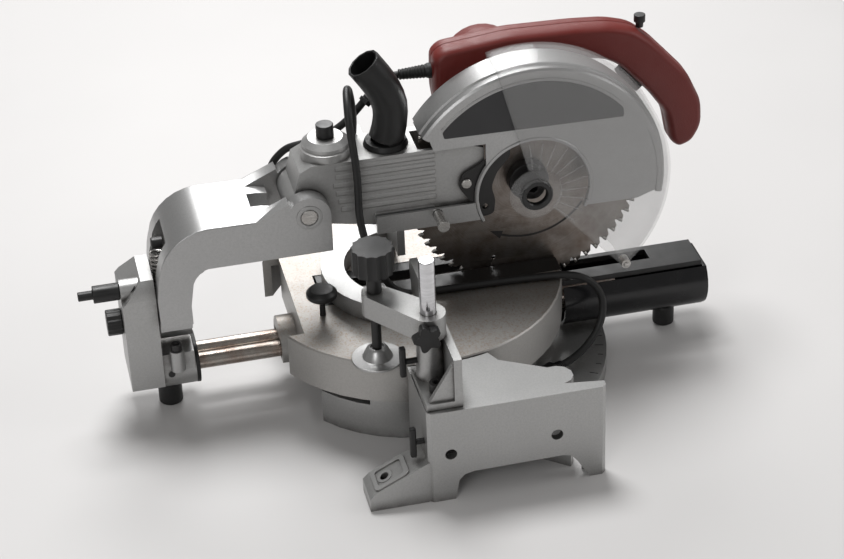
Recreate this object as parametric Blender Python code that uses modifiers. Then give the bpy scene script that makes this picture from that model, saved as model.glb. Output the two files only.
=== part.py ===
"""Sliding compound miter saw, modelled as its separate pieces.

Frame: +X is the operator's right, +Y the rear, +Z up, origin on the floor under
the turntable's centre. Sizes below are in millimetres and become metres in tidy().
The head is down, pulled forward on its rails, with the blade through the kerf.
"""
import math

import bmesh
import bpy
from mathutils import Matrix, Vector

MM = 0.001
GAP = 0.3                      # air between touching pieces

# Driving dimensions
BLADE_R = 127.0                # 254 mm blade
BLADE_T = 2.2
BLADE_Y = -128.0
BLADE_Z = 207.6
TABLE_Z = 105.7
TABLE_R = 160.0
SKIRT_Z = 60.0
RING_R = 138.0
WING_X = 244.0
WING_REAR = 37.0
WING_FRONT = -142.0
FENCE_Z = 160.0
FENCE_T = 8.0
RAIL_R = 8.5
RAIL_X = 11.0
RAIL_Z = 50.0
RAIL_FRONT = -228.0
CARRIAGE_FRONT = 231.0
CARRIAGE_REAR = 299.0
PIVOT_Y = 106.0
PIVOT_Z = 222.0
ARM_HALF = 45.0
NECK_HALF = 26.0
MOTOR_Y = -120.0
MOTOR_Z = 265.0
MOTOR_R = 46.0
GEAR_TEETH = 45
PINION_TEETH = 9
ROD_X = -188.0
ROD_Y = 20.0
CLAMP_X = -138.0
CLAMP_Y = 62.0
BOARD_Z = 85.0                 # top of the front kerf board
COVER_R = 33.0
CORD_R = 3.9
GUARD_LEFT = -33.0
GUARD_RIGHT = 10.0
PIN_SPOT = (-27.0, 197.0)        # hold-down pin, as (y, z)
HANDLE_X = 45.0                # middle plane of the handle
HANDLE_HALF = 17.0

MATERIALS = {
    "cast": ((0.62, 0.62, 0.61), 0.45, 0.9),
    "steel": ((0.55, 0.54, 0.52), 0.3, 1.0),
    "chrome": ((0.8, 0.8, 0.82), 0.12, 1.0),
    "blade": ((0.42, 0.39, 0.36), 0.35, 1.0),
    "black": ((0.03, 0.03, 0.03), 0.5, 0.0),
    "rubber": ((0.02, 0.02, 0.02), 0.75, 0.0),
    "red": ((0.38, 0.04, 0.035), 0.5, 0.0),
    "clear": ((0.85, 0.86, 0.85), 0.1, 0.0),
    "copper": ((0.6, 0.3, 0.15), 0.4, 1.0),
}


def clear_scene():
    for thing in list(bpy.data.objects):
        bpy.data.objects.remove(thing, do_unlink=True)
    for group in list(bpy.data.collections):
        bpy.data.collections.remove(group)


clear_scene()
PARTS = bpy.data.collections.new("sliding_miter_saw")
CUTTERS = bpy.data.collections.new("cutters")
bpy.context.scene.collection.children.link(PARTS)
bpy.context.scene.collection.children.link(CUTTERS)


def material(name):
    found = bpy.data.materials.get(name)
    if found:
        return found
    colour, roughness, metallic = MATERIALS[name]
    made = bpy.data.materials.new(name)
    made.use_nodes = True
    shader = made.node_tree.nodes["Principled BSDF"]
    shader.inputs["Base Color"].default_value = (*colour, 1.0)
    shader.inputs["Roughness"].default_value = roughness
    shader.inputs["Metallic"].default_value = metallic
    return made


def place(mesh_data, name, finish):
    """A named object in the parts, or a hidden wire in the cutters when finish is None."""
    thing = bpy.data.objects.new(name, mesh_data)
    if finish is None:
        CUTTERS.objects.link(thing)
        thing.hide_render = True
        thing.display_type = "WIRE"
        return thing
    PARTS.objects.link(thing)
    mesh_data.materials.clear()
    mesh_data.materials.append(material(finish))
    mesh_data.shade_smooth()
    mesh_data.set_sharp_from_angle(angle=math.radians(32))
    return thing


def tidy(work, name):
    """The finished bmesh as a mesh in metres, welded and facing out."""
    bmesh.ops.remove_doubles(work, verts=work.verts, dist=0.0005)
    bmesh.ops.recalc_face_normals(work, faces=work.faces)
    bmesh.ops.scale(work, vec=(MM, MM, MM), verts=work.verts)
    data = bpy.data.meshes.new(name)
    work.to_mesh(data)
    work.free()
    return data


def bake(thing, turn, name):
    """The evaluated mesh of a curve or screw object, turned into place, as a bmesh."""
    bpy.context.view_layer.update()
    graph = bpy.context.evaluated_depsgraph_get()
    data = bpy.data.meshes.new_from_object(thing.evaluated_get(graph))
    work = bmesh.new()
    work.from_mesh(data)
    bmesh.ops.transform(work, matrix=turn, verts=work.verts)
    source = thing.data
    bpy.data.objects.remove(thing, do_unlink=True)
    bpy.data.meshes.remove(data)
    if isinstance(source, bpy.types.Curve):
        bpy.data.curves.remove(source)
    return tidy(work, name)


AXES = {
    "X": Matrix(((0, 0, 1), (1, 0, 0), (0, 1, 0))).to_4x4(),
    "Y": Matrix(((1, 0, 0), (0, 0, -1), (0, 1, 0))).to_4x4(),
    "Z": Matrix.Identity(4),
}


def box(name, low, high, finish=None, round_by=0.0):
    """A block between two corners, its edges rounded by round_by."""
    work = bmesh.new()
    bmesh.ops.create_cube(work, size=1.0)
    size = Vector(high) - Vector(low)
    bmesh.ops.scale(work, vec=size, verts=work.verts)
    bmesh.ops.translate(work, vec=(Vector(high) + Vector(low)) / 2, verts=work.verts)
    if round_by:
        bmesh.ops.bevel(work, geom=work.edges[:], offset=round_by, segments=2, affect="EDGES",
                        profile=0.5)
    return place(tidy(work, name), name, finish)


def rod(name, axis, start, end, across, radius, finish=None, sides=28, tip=None):
    """A cylinder, or cone when tip is given, from start to end along an axis."""
    work = bmesh.new()
    bmesh.ops.create_cone(work, cap_ends=True, segments=sides, radius1=radius,
                          radius2=radius if tip is None else tip, depth=abs(end - start))
    spot = {"X": Vector(((start + end) / 2, across[0], across[1])),
            "Y": Vector((across[0], (start + end) / 2, across[1])),
            "Z": Vector((across[0], across[1], (start + end) / 2))}[axis]
    turn = AXES[axis]
    if axis == "Y":
        turn = Matrix.Rotation(-math.pi / 2, 4, "X")
    bmesh.ops.transform(work, matrix=Matrix.Translation(spot) @ turn, verts=work.verts)
    return place(tidy(work, name), name, finish)


def turned(name, axis, spot, profile, finish=None, steps=32):
    """A profile of (radius, height) pairs, top to bottom, turned about an axis at spot."""
    data = bpy.data.meshes.new(name)
    points = [(radius, 0.0, height) for radius, height in profile]
    data.from_pydata(points, [(i, i + 1) for i in range(len(points) - 1)], [])
    thing = bpy.data.objects.new(name, data)
    bpy.context.scene.collection.objects.link(thing)
    screw = thing.modifiers.new("turn", "SCREW")
    screw.steps = steps
    screw.render_steps = steps
    screw.use_merge_vertices = True
    screw.merge_threshold = 0.0001
    turn = {"X": Matrix.Rotation(math.pi / 2, 4, "Y"), "Y": Matrix.Rotation(-math.pi / 2, 4, "X"),
            "Z": Matrix.Identity(4)}[axis]
    return place(bake(thing, Matrix.Translation(Vector(spot)) @ turn, name), name, finish)


def plate(name, axis, loops, low, high, finish=None):
    """Closed outlines, the first outside and the rest holes, given thickness low to high.

    Outlines are (y, z) pairs when the thickness runs along X, (x, z) along Y, (x, y) along Z.
    """
    curve = bpy.data.curves.new(name, "CURVE")
    curve.dimensions = "2D"
    curve.fill_mode = "BOTH"
    curve.extrude = (high - low) / 2
    for loop in loops:
        spline = curve.splines.new("POLY")
        spline.points.add(len(loop) - 1)
        for point, (u, v) in zip(spline.points, loop):
            point.co = (u, v, 0.0, 1.0)
        spline.use_cyclic_u = True
    thing = bpy.data.objects.new(name, curve)
    bpy.context.scene.collection.objects.link(thing)
    middle = (high + low) / 2
    shift = {"X": (middle, 0, 0), "Y": (0, middle, 0), "Z": (0, 0, middle)}[axis]
    return place(bake(thing, Matrix.Translation(Vector(shift)) @ AXES[axis], name), name, finish)


def tube(name, points, radius, finish=None, fine=2):
    """A round bar along a list of points."""
    curve = bpy.data.curves.new(name, "CURVE")
    curve.dimensions = "3D"
    curve.bevel_depth = radius
    curve.bevel_resolution = fine
    curve.use_fill_caps = True
    spline = curve.splines.new("POLY")
    spline.points.add(len(points) - 1)
    for point, spot in zip(spline.points, points):
        point.co = (*spot, 1.0)
    thing = bpy.data.objects.new(name, curve)
    bpy.context.scene.collection.objects.link(thing)
    return place(bake(thing, Matrix.Identity(4), name), name, finish)


def apply_tool(target, tool, operation):
    """One Boolean, worked out now, so that a node ends as a plain mesh."""
    step = target.modifiers.new("tool", "BOOLEAN")
    step.operation = operation
    step.solver = "EXACT"
    step.object = tool
    bpy.context.view_layer.update()
    graph = bpy.context.evaluated_depsgraph_get()
    data = bpy.data.meshes.new_from_object(target.evaluated_get(graph))
    target.modifiers.remove(step)
    old = target.data
    target.data = data
    bpy.data.meshes.remove(old)
    work = bmesh.new()
    work.from_mesh(data)
    bmesh.ops.remove_doubles(work, verts=work.verts, dist=0.000002)
    bmesh.ops.dissolve_degenerate(work, edges=work.edges, dist=0.000002)
    work.to_mesh(data)
    work.free()
    data.set_sharp_from_angle(angle=math.radians(32))
    source = tool.data
    bpy.data.objects.remove(tool, do_unlink=True)
    bpy.data.meshes.remove(source)
    return target


def cut(target, *tools):
    for tool in tools:
        apply_tool(target, tool, "DIFFERENCE")
    return target


def join(target, *tools):
    for tool in tools:
        apply_tool(target, tool, "UNION")
    return target


def soften(thing, wanted, width, segments):
    """Rounds the side edges of a plate along X where wanted(y, z) holds at both ends."""
    work = bmesh.new()
    work.from_mesh(thing.data)
    chosen = []
    for edge in work.edges:
        one, two = (vert.co / MM for vert in edge.verts)
        if abs(one.x - two.x) < 0.01 and wanted(one.y, one.z) and wanted(two.y, two.z):
            if abs(edge.calc_face_angle()) > 1.0:
                chosen.append(edge)
    bmesh.ops.bevel(work, geom=chosen, offset=width * MM, segments=segments, affect="EDGES",
                    profile=0.5, clamp_overlap=True)
    bmesh.ops.remove_doubles(work, verts=work.verts, dist=0.000002)
    work.to_mesh(thing.data)
    work.free()
    thing.data.set_sharp_from_angle(angle=math.radians(32))
    return thing


def arc(centre, radius, first, last, count):
    """Points round an arc, angles in degrees from the outline's first axis."""
    step = (last - first) / (count - 1)
    turns = [math.radians(first + step * i) for i in range(count)]
    return [(centre[0] + radius * math.cos(t), centre[1] + radius * math.sin(t)) for t in turns]


def sector(centre, inner, outer, first, last, count):
    """A ring's slice as one closed outline."""
    back = arc(centre, inner, last, first, count)
    return arc(centre, outer, first, last, count) + back


def lobed(centre, radius, swell, lobes, count):
    """A knob's rim: a circle with evenly spaced swellings."""
    turns = [2 * math.pi * i / count for i in range(count)]
    reach = [radius + swell * math.cos(lobes * t) for t in turns]
    return [(centre[0] + r * math.cos(t), centre[1] + r * math.sin(t))
            for r, t in zip(reach, turns)]


def smooth(points, count):
    """Even steps along a Catmull-Rom curve through the points."""
    spots = [Vector(p) for p in points]
    spots = [2 * spots[0] - spots[1]] + spots + [2 * spots[-1] - spots[-2]]
    fine = []
    for i in range(1, len(spots) - 2):
        a, b, c, d = spots[i - 1:i + 3]
        for k in range(24):
            t = k / 24
            fine.append(0.5 * (2 * b + (c - a) * t + (2 * a - 5 * b + 4 * c - d) * t * t
                               + (3 * b - 3 * c + d - a) * t ** 3))
    fine.append(spots[-2])
    run = [0.0]
    for one, two in zip(fine, fine[1:]):
        run.append(run[-1] + (two - one).length)
    even = []
    k = 0
    for i in range(count):
        want = run[-1] * i / (count - 1)
        while k < len(run) - 2 and run[k + 1] < want:
            k += 1
        share = (want - run[k]) / (run[k + 1] - run[k])
        even.append(fine[k].lerp(fine[k + 1], share))
    return even


# --- base -----------------------------------------------------------------------------

def wing_outline(side):
    """The wing's top seen from above; side is -1 for the operator's left."""
    inner = arc((0, 0), 163.5, 166.9, 196.0, 9)
    front = [(-172, -52), (-198, -95)]
    scallop = arc((-213, -101), 15.5, 22.0, -170.0, 7)
    outer = [(-234, WING_FRONT), (-240, WING_FRONT), (-WING_X, -138), (-WING_X, 33), (-240, WING_REAR)]
    points = inner + front + [p for p in scallop if p[1] < -98] + outer
    return [(x * -side, y) for x, y in points]


def wing(target, side):
    """Joins one hollow wing, with its arched end wall and rear ear, to the base."""
    body = plate("wing", "Z", [wing_outline(side)], 0.0, TABLE_Z - GAP)
    pocket = [(-236, 29), (-168, 29), (-174, -40), (-205, -88), (-225, -112), (-236, -128)]
    pocket = [(x * -side, y) for x, y in pocket]
    cut(body, plate("pocket", "Z", [pocket], -5.0, TABLE_Z - 8.0))
    arch = [(12, -5), (7, 22), (1, 28), (-8, 30), (-98, 31), (-106, 29), (-112, 22), (-128, -5)]
    wall = sorted((side * (WING_X - 9.0), side * (WING_X + 6.0)))
    cut(body, plate("arch", "X", [arch], *wall))
    for y, z in ((14.5, 54.5), (-92.0, 57.0)):
        cut(body, rod("bar_hole", "X", wall[0], wall[1], (y, z), 6.0, sides=20))
    ear = [(30, 2), (30, 48), (38, 46), (90, 20), (96, 14), (96, 0), (38, 0), (34, 2)]
    span = sorted((side * 206.0, side * 242.0))
    ear_body = plate("ear", "X", [ear], *span)
    cut(ear_body, rod("ear_slot", "Z", -5, 60, (side * 224.0, 78.0), 4.5, sides=16))
    join(body, ear_body)
    bridge = sorted((side * 132.0, side * 172.0))
    join(body, box("bridge", (bridge[0], -38, 20), (bridge[1], 30, SKIRT_Z - 4)))
    return join(target, body)


base = turned("base_casting", "Z", (0, 0, 0),
              [(RING_R, 56), (RING_R, 0), (RING_R - 12, 0), (RING_R - 12, 56), (RING_R, 56)],
              "cast", steps=40)
join(base, box("web_x", (-130, -9, 6), (130, 9, 30)))
join(base, box("web_y", (-9, -130, 6), (9, 130, 30)))
join(base, rod("hub", "Z", 0, 34, (0, 0), 32.0))
cut(base, rod("tapped_hub", "Z", 10, 60, (0, 0), 6.0 + GAP, sides=24))
for middle in (90, 270):
    window = sector((0, 0), 120, 150, middle - 60, middle + 60, 25)
    cut(base, plate("rail_window", "Z", [window], 38.0, 70.0))
for middle in (90, 270):
    opening = sector((0, 0), 118, 152, middle - 36, middle + 36, 13)
    cut(base, plate("mouth", "Z", [opening], -5.0 if middle == 90 else 30.0, 60.0))
flange = sector((0, 0), RING_R - 6, 207, 209, 331, 25)
join(base, plate("front_flange", "Z", [flange], 0.0, 18.0))
for side in (-1, 1):
    wing(base, side)

# fence: two plates bridged behind the blade, a foot and the vise rod's boss
fence = plate("fence", "Y", [[(-239, TABLE_Z + GAP), (-62, TABLE_Z + GAP), (-46, 150),
                              (-50, FENCE_Z), (-239, FENCE_Z)]], 0.0, FENCE_T, "cast")
arch_out = sector((0, 0), 66, 90, -2, 182, 25)
bridge = plate("arch", "Z", [arch_out], TABLE_Z + GAP, 126.0)
cut(bridge, box("front_of_fence", (-100, -20, 90), (100, 0.0, 140)))
right = plate("right_plate", "Y", [[(8, TABLE_Z + GAP + 22), (8, FENCE_Z), (239, FENCE_Z),
                                    (239, TABLE_Z + GAP), (64, TABLE_Z + GAP),
                                    (30, TABLE_Z + GAP + 22)]], 0.0, FENCE_T)
join(fence, bridge, right)
for side in (-1, 1):
    foot = sorted((side * 239.0, side * 172.0))
    join(fence, box("foot", (foot[0], 4.0, TABLE_Z + GAP), (foot[1], 36.0, 113.0)))
    rib = sorted((side * 236.0, side * 231.0))
    join(fence, plate("rib", "X", [[(4, 112), (4, 152), (9, 152), (33, 112)]], *rib))
    cut(fence, rod("bolt_hole", "Z", 90, 130, (side * 218.0, 21.0), 4.6, sides=16))
join(fence, rod("boss", "Z", 112.0, 152.0, (ROD_X, ROD_Y), 14.0, tip=12.5))
cut(fence, rod("boss_bore", "Z", 114.0, 170.0, (ROD_X, ROD_Y), 8.0 + GAP))
cut(fence, rod("screw_bore", "Y", ROD_Y, ROD_Y + 24, (ROD_X, 132.0), 3.3, sides=16))


def socket_bolt(name, x, y, bottom, top, radius=7.0, shank=4.0):
    """A socket-head bolt standing on its own face, with its hex socket."""
    bolt = rod(name, "Z", bottom, top, (x, y), radius, "black", sides=24)
    join(bolt, rod("shank", "Z", bottom - 14, bottom + 1, (x, y), shank, sides=16))
    return cut(bolt, rod("socket", "Z", top - 5, top + 3, (x, y), radius * 0.5, sides=6))


# the bolts end in the wings' tops, which are drilled for them
for side in (-1, 1):
    cut(base, rod("tapped", "Z", 90, 120, (side * 218.0, 21.0), 4.6, sides=16))
socket_bolt("fence_bolt_left", -218.0, 21.0, 113.0 + GAP, 124.0)
socket_bolt("fence_bolt_right", 218.0, 21.0, 113.0 + GAP, 124.0)


def wing_screw(name, x, z, start, head):
    """A thumb screw along Y: thin stem and an upright bar to turn it by."""
    stem = rod(name, "Y", start, head + 2, (x, z), 3.0, "black", sides=14)
    return join(stem, box("bar", (x - 3.5, head, z - 17), (x + 3.5, head + 6, z + 17),
                          round_by=1.5))


rod_screw = wing_screw("vise_rod_screw", ROD_X, 132.0, ROD_Y + 8.0 + 2 * GAP, 44.0)
cut(base, rod("screw_hole", "Y", 20, 45, (-226.0, 63.0), 3.3, sides=16))
bar_screw = wing_screw("extension_screw", -226.0, 63.0, 22.0, 45.0)

vise_rod = rod("vise_rod", "Z", 114.0 + GAP, 244.0, (ROD_X, ROD_Y), 8.0, "chrome", sides=32)

# --- vise -----------------------------------------------------------------------------

reach = math.degrees(math.atan2(CLAMP_Y - ROD_Y, CLAMP_X - ROD_X))
arm_outline = (arc((ROD_X, ROD_Y), 17.0, reach + 80, reach + 280, 15)
               + arc((CLAMP_X, CLAMP_Y), 13.0, reach - 80, reach + 80, 11))
vise_arm = plate("vise_arm", "Z", [arm_outline], 160.5, 185.0, "cast")
cut(vise_arm, rod("rod_bore", "Z", 150, 190, (ROD_X, ROD_Y), 8.0 + GAP, sides=32))
cut(vise_arm, rod("screw_bore", "Z", 150, 190, (CLAMP_X, CLAMP_Y), 5.4, sides=24))
cut(vise_arm, rod("knob_bore", "X", ROD_X - 24, ROD_X, (ROD_Y + 7, 172.0), 3.3, sides=16))

star_rim = lobed((ROD_Y + 7, 172.0), 12.0, 2.6, 5, 40)
star_knob = plate("star_knob", "X", [star_rim], ROD_X - 29, ROD_X - 19, "black")
join(star_knob, rod("stem", "X", ROD_X - 20, ROD_X - 8 - 2 * GAP, (ROD_Y + 7, 172.0), 3.0,
                    sides=14))

clamp = (CLAMP_X, CLAMP_Y)
vise_screw = rod("vise_screw", "Z", 118.0, 212.0, clamp, 5.0, "black", sides=18)
join(vise_screw, rod("collar", "Z", 186.0, 204.0, clamp, 7.5, sides=18))
join(vise_screw, plate("grip", "Z", [lobed(clamp, 20.0, 1.1, 14, 42)], 209.0, 236.0))
vise_pad = turned("vise_pad", "Z", (*clamp, 0),
                  [(0, 118.0 - GAP), (6.5, 118.0 - GAP), (7.0, 121), (10.5, 119), (14, 112),
                   (15, 109), (26, 108.5), (26, TABLE_Z + GAP), (0, TABLE_Z + GAP)],
                  "chrome", steps=24)

# --- turntable ------------------------------------------------------------------------

turntable = turned("turntable", "Z", (0, 0, 0),
                   [(0, TABLE_Z), (TABLE_R - 1.5, TABLE_Z), (TABLE_R, TABLE_Z - 1.5),
                    (TABLE_R, SKIRT_Z), (TABLE_R - 8, SKIRT_Z), (TABLE_R - 8, TABLE_Z - 8),
                    (0, TABLE_Z - 8)], "cast", steps=48)
join(turntable, box("rail_tunnel", (-32, -140, 39.5), (32, 141, TABLE_Z - 4)))
join(turntable, box("tail_block", (-70, 80, 60), (70, 124, TABLE_Z - 4)))
cut(turntable, box("tail_notch", (-74, 124, 30), (74, 180, 120)))
join(turntable, rod("rail_boss", "Y", 120, 141, (0, 51.5), 27.0, sides=32))
join(turntable, rod("pivot_boss", "Z", 35.0, 45, (0, 0), 28.0))
cut(turntable, box("below_boss", (-40, 110, 10), (40, 141, 39.5)))
hollow = [(-21, 40.8), (21, 40.8), (21, 60), (-21, 60)]
cut(turntable, plate("rail_space", "Y", [hollow], -170, 180))
cut(turntable, box("kerf_recess", (-30, -175, 90.0), (30, 96, 130)))
cut(turntable, box("kerf_space", (-9, -175, 71.0), (22, 90, 95)))
cut(turntable, box("kerf_mouth", (-18, -175, 71.0), (27, -138, 95)))
cut(turntable, rod("bolt_hole", "Z", 20, 50, (0, 0), 6.0 + GAP, sides=24),
    rod("bolt_seat", "Z", 37.5, 50, (0, 0), 10.0, sides=24))
lock_spot = (-45.0, 99.0)
cut(turntable, rod("lock_hole", "Z", 50, 120, lock_spot, 3.3, sides=16))

pivot_bolt = rod("pivot_bolt", "Z", 10.0 + GAP, 38.5, (0, 0), 6.0, "steel", sides=24)
join(pivot_bolt, rod("bolt_head", "Z", 37.5 + GAP, 40.4, (0, 0), 9.4, sides=24))


def kerf_board(name, half, low, high, span, slot, finish):
    """A board with the blade's slot, wide enough for a tilted blade."""
    board = box(name, (-half, span[0], low), (half, span[1], high), finish)
    return cut(board, box("slot", (-3.0, slot[0], low - 2), (15.0, slot[1], high + 2)))


table_insert = kerf_board("table_insert", 29.5, 95.3, TABLE_Z - 0.5, (-158.0, 94.0),
                          (-165.0, 80.0), "black")
front_board = kerf_board("front_board", 22.0, BOARD_Z - 6.0, BOARD_Z, (-314.0, -161.0),
                         (-262.0, -155.0), "black")

cover_out = arc((0, 56), COVER_R, 43, -223, 21)
cover_in = arc((0, 56), COVER_R - 3.0, -217, 37, 19)
front_cover = plate("front_cover", "Y", [cover_out + cover_in], -316, -161, "black")
join(front_cover, plate("end", "Y", [arc((0, 56), COVER_R - 0.5, 43, -223, 21)], -319, -315))
front_foot = turned("front_foot", "Z", (0, -280, 0),
                    [(0, 22.6), (10, 22.6), (11.5, 20), (11.5, 1.0), (10.5, 0), (0, 0)],
                    "rubber", steps=20)


def rail_bush(name, start, end):
    """A block that fills the rail space, with a bore for each rail."""
    bush = box(name, (-20.7, start, 41.1), (20.7, end, 59.7), "black")
    for x in (-RAIL_X, RAIL_X):
        cut(bush, rod("bore", "Y", start - 5, end + 5, (x, RAIL_Z), RAIL_R + 0.08, sides=32))
    return bush


rail_bush("rail_bush_front", -136.0, -112.0)
rail_bush("rail_bush_rear", 112.0, 140.0)

lock_knob = rod("miter_lock_knob", "Z", 62.0, 130.0, lock_spot, 3.0, "black", sides=16)
join(lock_knob, turned("cap", "Z", (*lock_spot, 0),
                       [(0, 137), (12, 137), (16, 133), (16, 128.5), (13, 126), (5, 124), (0, 124)],
                       steps=28))

# --- carriage -------------------------------------------------------------------------

rails = [rod(f"rail_{word}", "Y", RAIL_FRONT, CARRIAGE_FRONT + 34, (x, RAIL_Z), RAIL_R, "steel",
             sides=32)
         for word, x in (("left", -RAIL_X), ("right", RAIL_X))]
stadium = arc((-9, 50), 22.0, 90, 270, 15) + arc((9, 50), 22.0, -90, 90, 15)
carriage = plate("rear_carriage", "Y", [stadium], CARRIAGE_FRONT, CARRIAGE_REAR - 2, "cast")
tower = [(-34, 40), (34, 40), (36, 148), (25, 165), (-25, 165), (-36, 148)]
join(carriage, plate("tower", "Y", [tower], 265.0, CARRIAGE_REAR))
cut(carriage, plate("top_slope", "X", [[(302, 139.9), (302, 175), (274, 175), (274, 169)]], -50, 50))
join(carriage, rod("lever_boss", "Y", 275, CARRIAGE_REAR, (-16, 152), 11.5, sides=28))
join(carriage, box("ledge", (-30, 232, 55), (30, 280, 76)))
join(carriage, rod("stop_boss", "Z", 60, 84, (-35.0, 250.0), 7.5, sides=20))
cut(carriage, rod("pivot_bore", "Y", 250, 320, (0, TABLE_Z), 7.0, sides=24))
cut(carriage, rod("lever_slot", "Y", 250, 320, (-16, 152), 5.2, sides=20))
for x in (-RAIL_X, RAIL_X):
    cut(carriage, rod("rail_bore", "Y", 220, CARRIAGE_FRONT + 34 + GAP, (x, RAIL_Z), RAIL_R + GAP,
                      sides=32))
rear_foot = turned("rear_foot", "Z", (0, 258, 0),
                   [(0, 27.6), (10.5, 27.6), (12.5, 24), (12.5, 1), (11.5, 0), (0, 0)],
                   "rubber", steps=20)
seal = plate("rail_seal", "Y", [[(x * 1.02, z) for x, z in stadium]], 227.0,
             CARRIAGE_FRONT - GAP, "rubber")
for x in (-RAIL_X, RAIL_X):
    cut(seal, rod("bore", "Y", 220, 235, (x, RAIL_Z), RAIL_R + GAP, sides=24))

bevel_lever = rod("bevel_lock_lever", "Y", CARRIAGE_REAR + GAP, 326, (-16, 152), 9.0, "black",
                  sides=24)
join(bevel_lever, rod("rod", "Y", 272, 341, (-16, 152), 4.8, sides=18))
bevel_knob = plate("bevel_pivot_knob", "Y", [lobed((0, TABLE_Z), 13.0, 0.8, 12, 48)],
                   CARRIAGE_REAR + GAP, 315, "black")
join(bevel_knob, rod("shaft", "Y", 234, 300, (0, TABLE_Z), 6.0, sides=24))

# --- arm ------------------------------------------------------------------------------

arm_side = ([(84, 180), (208, 180)] + arc((206, 158), 22, 84, 18, 5)
            + [(231, 140), (231, 76), (262.5, 76), (264, 150), (262, 168)]
            + arc((206, 172), 54, 8, 88, 8) + [(150, 225), (112, 218), (84, 210)])
arm = plate("arm", "X", [arm_side], -ARM_HALF, ARM_HALF, "cast")
soften(arm, lambda y, z: z > 178 and (y > 208 or z > 200) and y > 100, 17.0, 4)
cut(arm, plate("under", "X", [[(70, 150), (70, 172), (207, 172), (224, 140), (224, 60),
                               (200, 60)]], -ARM_HALF + 7, ARM_HALF - 7))
below = [(-60, 60), (60, 60), (60, TABLE_Z), (24, TABLE_Z)]
below += arc((0, TABLE_Z), 24.0, -9, -171, 17) + [(-24, TABLE_Z), (-60, TABLE_Z)]
cut(arm, plate("leg_end", "Y", [below], 225, 275))
cut(arm, box("leg_sides_left", (-60, 225, 40), (-33, 275, 118)),
    box("leg_sides_right", (33, 225, 40), (60, 275, 118)))
for side in (-1, 1):
    span = sorted((side * ARM_HALF, side * (NECK_HALF + 2.5)))
    lug = [(84, 180), (140, 180), (164, 223), (126, 240)] + arc((PIVOT_Y, PIVOT_Z), 22, 35, 180, 12)
    join(arm, plate("lug", "X", [lug], *span))
cut(arm, box("fork", (-NECK_HALF - 2.5, 70, 150), (NECK_HALF + 2.5, 139, 260)))
cut(arm, box("top_slot", (-13, 130, 203), (13, 160, 260)))
cut(arm, rod("pin_bore", "X", -70, 70, (PIVOT_Y, PIVOT_Z), 8.5 + GAP, sides=32))
cut(arm, box("back_window", (-24, 246, 122), (24, 290, 205)))
cut(arm, rod("bevel_bore", "Y", 220, 290, (0, TABLE_Z), 6.0 + GAP, sides=24))
pivot_pin = rod("pivot_pin", "X", -ARM_HALF - 0.5, ARM_HALF + 0.5, (PIVOT_Y, PIVOT_Z), 8.5, "steel",
                sides=32)
height_stop = rod("height_stop_bolt", "Y", 130.0, 138.7, (0, 196), 4.0, "black", sides=6)

# --- head -----------------------------------------------------------------------------

neck_side = (arc((PIVOT_Y, PIVOT_Z), 20.5, -70, 60, 12)
             + [(110, 262), (98, 268), (-60, 268), (-78, 262), (-78, 188), (30, 190), (88, 201)])
head = plate("head_casting", "X", [neck_side], -NECK_HALF, NECK_HALF, "cast")
cut(head, rod("pin_bore", "X", -70, 70, (PIVOT_Y, PIVOT_Z), 8.5 + GAP, sides=32))
cut(head, rod("blade_room", "X", -22, 17.5, (BLADE_Y, BLADE_Z), BLADE_R + 5, sides=64))
join(head, turned("turret", "Z", (0, 78, 0),
                  [(0, 286), (18, 286), (24, 281), (24, 277), (26, 276), (26, 262), (0, 262)],
                  steps=32))
cut(head, rod("knob_hole", "Z", 264, 300, (0, 78), 4.3, sides=16))
cut(head, rod("duct", "Z", 240, 300, (0, 17), 13.0, sides=24))
cut(head, box("case_room", (GUARD_RIGHT, -90, 150), (40, -48, 290)))
cut(head, rod("pin_hole", "X", -60, -10, PIN_SPOT, 5.4, sides=20))
turret_knob = rod("turret_knob", "Z", 266, 292, (0, 78), 4.0, "black", sides=16)
join(turret_knob, rod("top", "Z", 286 + GAP, 300, (0, 78), 9.0, sides=20))

cheek = ([(36, 181), (36, 204), (-28, 204), (-28, 276)]
         + arc((BLADE_Y, BLADE_Z), 141.0, 34, 190, 27) + [(-240, 181)])
upper_guard = plate("upper_guard", "X", [cheek], GUARD_LEFT, GUARD_LEFT + 3, "cast")
rim = sector((BLADE_Y, BLADE_Z), 137.5, 140.7, 34.4, 189.6, 27)
join(upper_guard, plate("rim", "X", [rim], GUARD_LEFT + 1, GUARD_RIGHT - 1))
right_cheek = (arc((BLADE_Y, BLADE_Z), 141.0, 34, 190, 27)
               + [(-240, 181), (-79, 181), (-79, 270), (-28, 276)])
join(upper_guard, plate("right_cheek", "X", [right_cheek], GUARD_RIGHT - 3, GUARD_RIGHT))
cut(upper_guard, box("neck_room", (-NECK_HALF - GAP, -78 - GAP, 150),
                     (NECK_HALF + GAP, 60, 268 + 1.5)))
cut(upper_guard, rod("hub_opening", "X", GUARD_LEFT - 5, GUARD_LEFT + 8, (BLADE_Y, BLADE_Z), 58.0,
                     sides=48))
cut(upper_guard, rod("pin_hole", "X", GUARD_LEFT - 5, GUARD_LEFT + 8, PIN_SPOT, 5.4, sides=20))
cut(upper_guard, rod("spindle_opening", "X", 3, 40, (BLADE_Y, BLADE_Z), 22.0, sides=32))

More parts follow.
